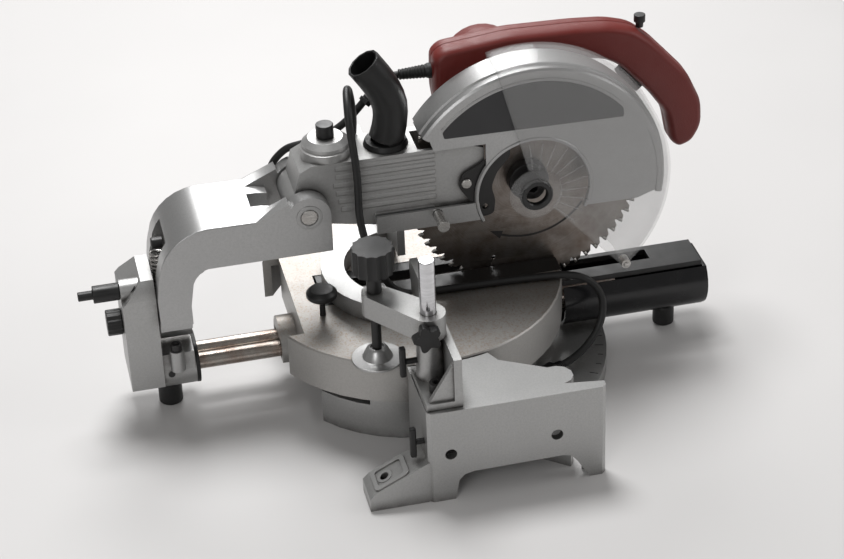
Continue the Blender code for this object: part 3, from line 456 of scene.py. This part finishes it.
def spoke(centre, angle, near, far, half):
    """A narrow radial outline from one radius to another, half its width to each side."""
    turn = math.radians(angle)
    out = Vector((math.cos(turn), math.sin(turn)))
    side = Vector((-out.y, out.x)) * half
    middle = Vector(centre)
    return [tuple(middle + out * r + side * s) for r, s in ((near, -1), (far, -1), (far, 1), (near, 1))]


def on_circle(centre, radius, angle):
    """The point at an angle in degrees."""
    return arc(centre, radius, angle, 360, 2)[0]


# --- pieces ---------------------------------------------------------------------------

def round_edges(thing, edge, segments=2, sharper_than=34.0):
    """Rounds a piece's sharp edges and evens its shading."""
    if edge:
        bevel = thing.modifiers.new("rounding", "BEVEL")
        bevel.width = edge * MM
        bevel.segments = segments
        bevel.limit_method = "ANGLE"
        bevel.angle_limit = math.radians(sharper_than)
        bevel.use_clamp_overlap = True
    normals = thing.modifiers.new("shading", "WEIGHTED_NORMAL")
    normals.keep_sharp = True
    normals.weight = 60


def place(work, name, finish, body, stands_for=(), edge=0.4, segments=2, sharper_than=34.0):
    """A shape in millimetres as a finished piece on a body."""
    work.transform(Matrix.Diagonal((MM, MM, MM, 1.0)))
    data = bpy.data.meshes.new(name)
    work.to_mesh(data)
    work.free()
    thing = bpy.data.objects.new(name, data)
    bpy.context.scene.collection.objects.link(thing)
    data.materials.append(finish)
    data.shade_smooth()
    round_edges(thing, edge, segments, sharper_than)
    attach(thing, body)
    if stands_for:
        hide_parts(*stands_for)
    return thing


def dress(name, finish, edge=0.5, segments=2, sharper_than=34.0):
    """Gives a CAD node its surface and rounds its edges."""
    thing = nodes[name]
    thing.data.materials.clear()
    thing.data.materials.append(finish)
    thing.data.shade_smooth()
    weld = thing.modifiers.new("weld", "WELD")
    weld.merge_threshold = 0.000002
    flat = thing.modifiers.new("flat", "DECIMATE")
    flat.decimate_type = "DISSOLVE"
    flat.angle_limit = math.radians(0.6)
    round_edges(thing, edge, segments, sharper_than)


def dress_frame():
    """Surfaces for the CAD nodes that stay as they are."""
    for name, finish, edge in (
            ("base_casting", CAST, 2.0), ("fence", CAST, 0.8), ("vise_arm", CAST, 1.2),
            ("turntable", CAST_DUSTY, 1.4), ("rear_carriage", CAST, 1.5), ("arm", CAST_BRIGHT, 2.6),
            ("head_casting", CAST, 1.6), ("gear_case", CAST, 1.2),
            ("pivot_bolt", STEEL, 0.4), ("rail_left", RAIL, 0.8), ("rail_right", RAIL, 0.8),
            ("pivot_pin", STEEL, 0.8), ("spindle", STEEL, 0.2), ("inner_flange", STEEL, 0.5),
            ("outer_flange", OXIDE, 0.8), ("hold_down_pin", STEEL, 0.8), ("vise_rod", CHROME, 1.0),
            ("vise_pad", CAST_BRIGHT, 0.5), ("fence_bolt_left", OXIDE, 0.6),
            ("fence_bolt_right", OXIDE, 0.6), ("vise_rod_screw", BLACK, 0.8),
            ("extension_screw", BLACK, 0.8), ("star_knob", BLACK, 1.4), ("vise_screw", BLACK, 1.2),
            ("table_insert", BLACK, 0.5), ("front_board", BLACK, 0.5),
            ("front_cover", GLOSS_BLACK, 1.0), ("rail_bush_front", BLACK, 0.5),
            ("rail_bush_rear", BLACK, 0.5), ("miter_lock_knob", BLACK, 0.8),
            ("bevel_lock_lever", BLACK, 0.8), ("bevel_pivot_knob", BLACK, 1.0),
            ("height_stop_bolt", OXIDE, 0.4), ("turret_knob", BLACK, 1.0),
            ("brush_cap_upper", BLACK, 0.6), ("brush_cap_lower", BLACK, 0.6),
            ("trigger", BLACK, 1.4), ("dust_nozzle", BLACK, 0.6), ("arbor_bolt", OXIDE, 0.8),
            ("lock_off_button", BLACK, 0.8), ("cord_tie", BLACK, 0.3),
            ("front_foot", RUBBER, 0.8), ("rear_foot", RUBBER, 0.8), ("rail_seal", RUBBER, 0.6),
            ("plug_prong_inner", STEEL, 0.2), ("plug_prong_outer", STEEL, 0.2),
            ("rotor", COPPER, 0.4), ("motor_housing", RED, 2.0), ("upper_guard", CAST_BRIGHT, 0.8),
            ("lower_guard", CLEAR, 0.6)):
        dress(name, finish, edge)


def saw_blade():
    """A sixty-tooth blade: gullets, carbide tips, expansion slots and a turning arrow."""
    teeth, half, tip_half, skin = 60, 0.8, 1.1, 0.86
    bore_radius, slot_end, hole_radius = 8.3, 100, 2.4
    shape = ((0.0, 118.4), (0.12, 120.2), (0.35, 124.4), (0.86, 126.2), (0.9, 121.0), (0.95, 119.0))
    rim = []
    for i in range(teeth):
        for share, radius in shape:
            rim.append(on_circle(SPIN, radius, 360 * (i + share) / teeth))
    plate_work = plate("X", [rim, arc(SPIN, bore_radius, 0, 354, 60)], -half, half)
    for angle in range(21, 360, 90):
        turn = math.radians(angle)
        hole = Vector(SPIN) + Vector((math.cos(turn), math.sin(turn))) * slot_end
        slot = spoke(SPIN, angle, slot_end + 1, 121, 0.5)
        plate_work = cut(plate_work, plate("X", [slot], -3, 3),
                         rod("X", -3, 3, tuple(hole), hole_radius, 24))
    place(plate_work, "blade_plate", BLADE, "blade", ("saw_blade",), edge=0.0)
    tips = []
    for i in range(teeth):
        corner = [on_circle(SPIN, r, 360 * (i + share) / teeth)
                  for share, r in ((0.7, 121.6), (0.68, 126.4), (0.91, 126.9), (0.93, 121.4))]
        tips.append(plate("X", [corner], -tip_half, tip_half))
    place(merged(*tips), "blade_tips", CARBIDE, "blade", edge=0.0)
    band = arc(SPIN, 71.0, 214, 292, 24) + arc(SPIN, 73.4, 292, 214, 24)
    head = [on_circle(SPIN, r, angle) for r, angle in ((67.5, 292), (72.2, 303), (77.0, 292))]
    place(merged(plate("X", [band], -skin, -half), plate("X", [head], -skin, -half)), "blade_arrow",
          PRINT, "blade", edge=0.0)


def fixed_guard():
    """The fixed guard's stepped rim, its two cheeks, the opening's lip and the dark panel."""
    left, right = guard_low.x, guard_high.x
    start, end = 34.4, 189.6
    wall, opening = 3.0, 58.0
    rim = swept([(left - 1.0, 130.5), (left - 1.0, 136.0), (left + 0.8, 138.2), (left + 8, 138.6),
                 (left + 9, 140.7), (right - 10, 140.7), (right - 9, 139.0), (right, 138.8),
                 (right, 136.8), (left + 2, 136.8), (left + 2, 130.5)], SPIN, start, end, 72)
    cheek = (rounded([(36, 181), (36, 204), (-28, 204), (-28, 268)], 3.0)
             + arc(SPIN, 134.0, 36, 188, 48) + [(-238, 181)])
    cheek_work = cut(plate("X", [cheek], left, left + wall),
                     rod("X", left - 5, left + 8, SPIN, opening, 72),
                     box((-40, -78.3, 203.0), (40, 60, 269.5)),
                     rod("X", -60, 10, (-27.0, 197.0), 5.4, 24))
    lip = swept([(left - 1.2, 58.4), (left - 1.2, 61.0), (left + 1, 62.5), (left + 1, 58.4)], SPIN,
                -27.0, 207.0, 60)
    right_cheek = arc(SPIN, 137.5, 36, 188, 40) + [(-238, 181), (-79, 181), (-79, 270), (-28, 272)]
    right_work = cut(plate("X", [right_cheek], right - wall, right),
                     rod("X", 0, 40, SPIN, 22.0, 40), box((0, -78.3, 150), (26.3, 60, 269.5)))
    place(merged(rim, cheek_work, right_work), "fixed_guard", CAST_BRIGHT, "head",
          ("upper_guard",), edge=0.5)
    place(lip, "guard_opening_lip", CAST_BRIGHT, "head", edge=0.3)
    top = arc(SPIN, 124.0, 41, 139, 40)
    panel = rounded(top + [(-222, 279), (-36, 282)], 1.5, 2)
    place(plate("X", [panel], left - 0.5, left + 0.2), "guard_panel", LABEL, "head", edge=0.15)
    stripe = arc(SPIN, 127.6, 42, 138, 40) + arc(SPIN, 126.2, 138, 42, 40)
    place(plate("X", [stripe], left - 0.4, left + 0.2), "guard_panel_line", CAST_BRIGHT, "head",
          edge=0.0)


def clear_guard():
    """The clear lower guard with its boss, hub, ribs and roller."""
    low, high = (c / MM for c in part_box("lower_guard"))
    side, wall = low.x + 7.5, 2.4
    first, last = 75, 228
    shell = swept([(side, 27.0), (side, 58.0), (side - 1.4, 60.5), (side - 1.4, 97.0),
                   (side, 99.5), (side, 138.0), (side + 2.2, 142.8), (side + 6.5, 145.4),
                   (high.x - 8, 147.0), (high.x - 2, 145.6), (high.x, 141.0), (high.x, 113.0),
                   (high.x - 2.0, 113.0), (high.x - 2.0, 140.6), (high.x - 3.4, 143.4),
                   (high.x - 8, 144.6), (side + 7.6, 143.2), (side + 4, 141.0),
                   (side + wall, 137.0), (side + wall, 27.0)], SPIN, first, last, 72)
    place(shell, "clear_guard", CLEAR, "lower_guard_body", ("lower_guard",), edge=0.0)
    boss = turned("X", (0, *SPIN), [(14.5, -38.4), (27.6, -38.4), (27.6, -41.5), (24.0, -45.0),
                                    (17.5, -45.8), (15.5, -44.5), (14.5, -42.0)], 64)
    place(boss, "clear_guard_boss", CLEAR, "lower_guard_body", edge=0.0)
    hub = turned("X", (0, *SPIN), [(10.5, -38.6), (17.2, -38.6), (17.2, -43.6), (15.6, -45.0),
                                   (11.6, -45.0), (10.5, -43.8)], 48)
    place(hub, "clear_guard_hub", SMOKED, "lower_guard_body", edge=0.3)
    ribs = [plate("X", [spoke(SPIN, angle, 27, 57, 0.7)], side - 0.9, side + 0.4)
            for angle in range(84, 226, 14)]
    place(merged(*ribs), "clear_guard_ribs", CLEAR, "lower_guard_body", edge=0.0)
    tip = on_circle(SPIN, 139.0, 226.2)
    roller = rod("X", side - 3.0, side + 9.0, tip, 5.2, 32)
    place(join(roller, rod("X", side - 4.6, side - 2.0, tip, 2.6, 24)), "clear_guard_roller", STEEL,
          "lower_guard_body", edge=0.5)


def inset(outline, distance):
    """The outline moved inwards by a distance along its normals."""
    area = sum(a[0] * b[1] - b[0] * a[1] for a, b in zip(outline, outline[1:] + outline[:1]))
    way = 1.0 if area > 0 else -1.0
    moved = []
    for i, here in enumerate(outline):
        before, after = Vector(outline[i - 1]), Vector(outline[(i + 1) % len(outline)])
        along = (after - before).normalized()
        moved.append(tuple(Vector(here) + Vector((-along.y, along.x)) * distance * way))
    return moved


def pillow(outline, inner, outer, soft, deep, steps=6):
    """A (y, z) outline from x inner to outer, its outer face crowned like a moulded shell."""
    way = 1 if outer > inner else -1
    levels = [(inner, 0.7), (inner + way * 0.7, 0.0)]
    for k in range(steps + 1):
        turn = math.pi / 2 * k / steps
        levels.append((outer - way * deep * (1 - math.sin(turn)), soft * (1 - math.cos(turn))))
    work = bmesh.new()
    rings = [[work.verts.new((x, y, z)) for y, z in inset(outline, shrink)] for x, shrink in levels]
    for one, two in zip(rings, rings[1:]):
        for a, b, c, d in zip(one, one[1:] + one[:1], two[1:] + two[:1], two):
            work.faces.new((a, b, c, d))
    work.faces.new(rings[0])
    work.faces.new(rings[-1][::-1])
    return outward(work)


def handle():
    """The two crowned red shells of the handle and the screws that hold them."""
    outline = rounded([(-46, 268), (-41, 300), (-42, 338), (-52, 346.5), (-120, 353.5), (-190, 351.5),
                       (-226, 348.5), (-252, 341), (-272, 325), (-312, 280), (-327.5, 246),
                       (-328.5, 218), (-318, 199.5), (-303, 194.5), (-294.5, 203), (-288, 238),
                       (-270, 264), (-238, 300), (-222, 310), (-199, 314), (-120, 318), (-84, 318),
                       (-72, 306), (-66, 277.4), (-53, 277.2)], 9.0, 4)
    seam, soft, deep = 0.15, 7.0, 11.0
    for word, inner, outer in (("left", HANDLE_X - seam, handle_low.x),
                               ("right", HANDLE_X + seam, handle_high.x)):
        shell = pillow(outline, inner, outer, soft, deep)
        place(shell, f"handle_shell_{word}", RED, "head", (f"handle_{word}",), edge=0.0)
    screws = []
    for y, z in ((-70, 335), (-200, 333), (-300, 262)):
        screws.append(turned("X", (handle_high.x - 2.2, y, z),
                             [(0, 0), (4, 0), (4, 2.6), (1.4, 2.6), (1.2, 1.2), (0, 1.2)], 24))
    place(merged(*screws), "handle_screws", OXIDE, "head", edge=0.2)


def motor():
    """Cooling slots and raised bands round the can."""
    centre, can = (-120.0, 265.0), 45.0
    slots = [plate("X", [spoke(centre, angle, can, 46.2, 2.0)], 82, 100) for angle in range(0, 360, 20)]
    place(merged(*slots), "motor_vents", GLOSS_BLACK, "head", edge=0.0)
    bands = [swept([(x, can), (x, 46.8), (x + 2.5, 46.8), (x + 2.5, can)], centre, 0, 359.9, 72)
             for x in (52.0, 58.0, 64.0, 70.0)]
    place(merged(*bands), "motor_bands", RED, "head", edge=0.4)


def neck():
    """Ridges along the neck and the plate below them."""
    lowest, pitch = 212.0, 9.4
    ridges = []
    for i in range(6):
        z = lowest + pitch * i
        ridges.append(plate("Y", [rounded([(NECK_X - 0.9, z), (NECK_X - 0.9, z + 4.6),
                                           (NECK_X + 1, z + 6.4), (NECK_X + 1, z - 1.8)], 1.6)],
                            -27.0, 70.0 + 2.2 * i if i < 4 else 74.0))
    place(merged(*ridges), "neck_ridges", CAST, "head", edge=0.4)
    low_plate = rounded([(34, 183), (38, 205), (-26, 205), (-26, 183)], 4.0)
    place(plate("X", [low_plate], NECK_X - 2.2, NECK_X + 0.5), "neck_plate", CAST_BRIGHT,
          "head", edge=0.5)


def guard_hook():
    """The black hooked link that opens the lower guard, seen through the hub opening."""
    pivot = (-58.0, 226.0)
    line = rounded([(-50, 222), (-54, 236), (-74, 246), (-92, 261), (-104, 262), (-104, 250), (-90, 234),
                    (-84, 218), (-88, 202), (-86, 186), (-72, 184), (-62, 204)], 5.0, 4)
    hook = cut(plate("X", [line], -30.4, -27.6), rod("X", -40, -20, (-77.0, 196.0), 3.2, 24))
    place(hook, "guard_hook", OXIDE, "guard_link_body", ("guard_link",), edge=0.5)
    stud = turned("X", (0, *pivot), [(0, -32.6), (4.6, -32.6), (5.4, -31.8), (5.4, -30.4), (0, -30.4)], 32)
    place(stud, "guard_hook_stud", STEEL, "guard_link_body", edge=0.3)


def base_details():
    """Raised rims round the bench holes, and the miter scale."""
    slope = math.radians(-26.57)
    pad_x, pad_y, pad_z = 224.0, 73.0, 28.5
    scale_y, scale_low, scale_high = -203.5, 17.9, 18.25
    for side in (-1, 1):
        word = "left" if side < 0 else "right"
        outer = rounded([(-16, -20), (16, -20), (16, 18), (-16, 18)], 5.0)
        inner = rounded([(-11.5, -15), (11.5, -15), (11.5, 13.5), (-11.5, 13.5)], 4.0)
        frame_work = plate("Z", [outer, inner], -0.5, 1.8)
        washer = turned("Z", (0, 5, 0), [(4.7, -0.4), (8.2, -0.4), (8.2, 0.7), (4.7, 0.7)], 40)
        whole = merged(frame_work, washer)
        whole.transform(Matrix.Translation((side * pad_x, pad_y, pad_z)) @ Matrix.Rotation(slope, 4, "X"))
        place(whole, f"bench_pad_{word}", CAST, "base", edge=0.5)
    ticks = []
    for angle in range(-45, 46, 5):
        long = 9.0 if angle % 15 == 0 else 5.5
        tick = plate("Z", [[(-0.35, scale_y), (0.35, scale_y), (0.35, scale_y + long),
                            (-0.35, scale_y + long)]], scale_low, scale_high)
        tick.transform(Matrix.Rotation(math.radians(angle), 4, "Z"))
        ticks.append(tick)
    place(merged(*ticks), "miter_scale", PRINT, "base", edge=0.0)


def arm_details():
    """The spring and bolts in the arm's back, and the rings round its pin."""
    coil_radius, wire, per_turn, rise = 7.5, 1.3, 14, 0.36
    coil = []
    for i in range(150):
        turn = 2 * math.pi * i / per_turn
        coil.append((coil_radius * math.cos(turn), 256.0 + coil_radius * math.sin(turn),
                     128.0 + rise * i))
    place(tube(coil, wire, 3), "lift_spring", STEEL, "arm", edge=0.0)
    bolts = []
    for z in (124.0, 192.0):
        bolts.append(turned("Y", (0, 0, z), [(0, 250), (6.0, 250), (6.0, 260.5), (5.2, 261.5), (3.0, 261.5),
                                            (3.0, 257.5), (0, 257.5)], 32))
    place(merged(*bolts), "arm_back_bolts", OXIDE, "arm", edge=0.3)
    for side in (-1, 1):
        word = "left" if side < 0 else "right"
        face = side * 45.0
        ring = turned("X", (face, 106.0, 222.0), [(9.2, -1.0), (13.2, -1.0), (13.2, 0.45), (12.6, 0.8),
                                                 (9.6, 0.8), (9.2, 0.4)], 48)
        if side < 0:
            ring.transform(Matrix.Translation((2 * face, 0, 0)) @ Matrix.Diagonal((-1, 1, 1, 1)))
        place(outward(ring), f"pin_ring_{word}", CAST, "arm", edge=0.2)


def carriage_details():
    """The bevel scale in its window, and the clamp and stop screws of the rear carriage."""
    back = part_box("rear_carriage")[1].y / MM
    window = plate("Z", [rounded([(-27, -6), (-9, -6), (-9, 6), (-27, 6)], 1.6)], -0.4, 0.6)
    marks = [box((-25 + 2.6 * i, -5, 0.5), (-24.5 + 2.6 * i, 0 if i % 2 else 3, 0.75)) for i in range(6)]
    slope = Matrix.Translation((0, back - 11.0, 155.6)) @ Matrix.Rotation(math.radians(-46.0), 4, "X")
    window.transform(slope)
    place(window, "bevel_window", GLOSS_BLACK, "carriage", edge=0.2)
    scale_work = merged(*marks)
    scale_work.transform(slope)
    place(scale_work, "bevel_scale", CHROME, "carriage", edge=0.0)
    screw = turned("X", (-31.0, 257.0, 52.0), [(0, -0.6), (3.4, -0.6), (3.4, 0.3), (3.0, 0.7), (1.7, 0.7),
                                               (1.7, -0.4), (0, -0.4)], 32)
    place(screw, "carriage_clamp_screw", OXIDE, "carriage", edge=0.15)
    stop = (-35.0, 250.0)
    bolt = turned("Z", (*stop, 0), [(0, 84), (5.6, 84), (5.6, 91), (4.9, 92), (2.8, 92), (2.8, 88.5),
                                           (0, 88.5)], 32)
    place(join(bolt, rod("Z", 91, 93.5, stop, 2.6, 24)), "bevel_stop_screw", OXIDE, "carriage",
          edge=0.3)


def cords():
    """The lead from the handle's gland to the plug, in the two lengths of the frame."""
    held = [(45, -7.6, 319), (45, 3, 318), (44, 13, 313), (41.5, 22, 305), (39, 31, 296),
            (36.5, 45, 283), (36, 60, 272), (37, 77, 264), (41, 95, 258), (48, 112, 250),
            (53, 126, 232), (53.3, 130, 211), (53, 124, 192), (52, 109, 179.5), (51, 89, 177),
            (49.5, 71, 187), (48, 58, 205), (46, 50, 226), (41, 44, 252), (33, 43, 279),
            (24, 45, 302), (17, 48, 321), (7, 51.5, 331), (-7, 55, 335), (-21, 57.5, 331.5),
            (-32, 59, 320.5), (-37, 58.5, 304), (-38, 56, 278), (-38, 54.5, 250),
            (-41, 55, 215), (-44, 52, 190), (-45, 47, 172)]
    free = [(-45, 46.6, 171.4), (-44.5, 41, 154), (-43, 34, 138), (-41, 23, 121), (-40, 7, 112),
            (-39, -12, 110), (-40, -50, 110), (-42, -100, 110), (-45, -136, 110.2),
            (-48, -156, 110.4), (-51.5, -174, 106), (-56, -187, 95.5), (-61, -192.5, 81),
            (-67, -190.5, 66), (-73.5, -183, 52), (-79, -171, 40), (-83, -159, 32.5),
            (-86.5, -148, 28.3), (-89.4, -140.8, 27.5)]
    held_line, free_line = smooth(held, 160), smooth(free, 110)
    lead = place(tube(held_line, CORD_RADIUS), "power_lead", RUBBER, "head", ("power_cord",), edge=0.0)
    tail = place(tube(free_line, CORD_RADIUS), "power_lead_tail", RUBBER, "base", ("cord_tail",), edge=0.0)
    way = Vector((-0.5, 0.866, 0))
    turn = Matrix.Translation(Vector(free[-1])) @ way.to_track_quat("Z", "Y").to_matrix().to_4x4()
    profile = [(4.2, 0.9), (5.2, 1.2)]
    for i in range(5):
        profile += [(5.4 + 0.3 * i, 2.0 + 2.2 * i), (4.6 + 0.3 * i, 3.0 + 2.2 * i)]
    neck_piece = turned("Z", (0, 0, 0), profile + [(6.0, 13.0), (0, 13.0), (0, 0.9)], 32)
    body = plate("Z", [rounded([(-8, -7.4), (8, -7.4), (8, 7.4), (-8, 7.4)], 4.0)], 12.0, 33.0)
    plug_work = merged(neck_piece, body)
    plug_work.transform(turn)
    plug = place(plug_work, "plug_body", RUBBER, "base", ("plug",), edge=0.8)
    relief = [(0, 0.3), (4.3, 0.3), (5.4, 0.8)]
    for i in range(8):
        relief += [(5.6 + 0.22 * i, 1.8 + 3.4 * i), (4.9 + 0.22 * i, 3.6 + 3.4 * i)]
    relief += [(7.6, 30.0), (8.0, 31.0), (8.0, 50.0), (0, 50.0)]
    gland = turned("Y", (45, -8.0, 319), [(r, -h) for r, h in relief], 40)
    place(gland, "strain_relief", RUBBER, "head", ("cord_gland",), edge=0.25)


# --- camera, light and floor ----------------------------------------------------------

def camera():
    """Beside the saw's left, a little behind it, with a long lens that looks down at it."""
    spot = (-2.0317, 0.4119, 1.4277)
    yaw, pitch, roll = 0.207, 0.569, -0.04
    look = Vector((math.cos(yaw) * math.cos(pitch), -math.sin(yaw) * math.cos(pitch), -math.sin(pitch)))
    level = Vector((-math.sin(yaw), -math.cos(yaw), 0.0))
    upright = level.cross(look)
    right = level * math.cos(roll) + upright * math.sin(roll)
    up = upright * math.cos(roll) - level * math.sin(roll)
    data = bpy.data.cameras.new("camera")
    data.lens = 100.7
    data.sensor_width = 36.0
    thing = bpy.data.objects.new("camera", data)
    bpy.context.scene.collection.objects.link(thing)
    axes = Matrix((right, up, -look)).transposed().to_4x4()
    thing.matrix_world = Matrix.Translation(spot) @ axes
    bpy.context.scene.camera = thing


def area_light(name, spot, aim, size, power):
    """A round soft light at spot, turned to aim."""
    data = bpy.data.lights.new(name, "AREA")
    data.shape = "DISK"
    data.size = size
    data.energy = power
    thing = bpy.data.objects.new(name, data)
    thing.location = spot
    thing.rotation_euler = (Vector(aim) - Vector(spot)).to_track_quat("-Z", "Y").to_euler()
    bpy.context.scene.collection.objects.link(thing)


def stage():
    """A plain pale floor under soft light."""
    light, dark, reach = (0.66, 0.65, 0.645), (0.62, 0.61, 0.605), 9
    paint = Paint("studio_floor", light, 0.6)
    tone = paint.ramp(paint.noise(1.6, 3.0), 0.3, 0.7)
    paint.set("Base Color", paint.colours(tone, light, dark))
    data = bpy.data.meshes.new("floor")
    data.from_pydata([(-reach, -reach, 0), (reach, -reach, 0), (reach, reach, 0), (-reach, reach, 0)],
                     [], [(0, 1, 2, 3)])
    data.materials.append(paint.made)
    floor = bpy.data.objects.new("floor", data)
    bpy.context.scene.collection.objects.link(floor)
    floor.location.z = -0.0002
    world = bpy.data.worlds.new("studio")
    world.use_nodes = True
    world.node_tree.nodes["Background"].inputs["Color"].default_value = (1.0, 0.985, 0.97, 1.0)
    world.node_tree.nodes["Background"].inputs["Strength"].default_value = 0.24
    bpy.context.scene.world = world
    area_light("overhead", (0.75, 0.1, 2.3), (-0.05, 0, 0.1), 1.0, 46.0)
    area_light("behind", (2.3, -0.3, 1.7), (0, 0, 0.15), 1.3, 26.0)
    area_light("left", (-2.2, 1.4, 1.5), (0, 0, 0.15), 1.2, 13.0)
    area_light("front", (-0.6, -2.4, 1.5), (0, 0, 0.15), 1.4, 11.0)
    bpy.context.scene.view_settings.view_transform = "Standard"


camera()
stage()
dress_frame()
cords()
saw_blade()
fixed_guard()
clear_guard()
handle()
motor()
neck()
guard_hook()
base_details()
arm_details()
carriage_details()
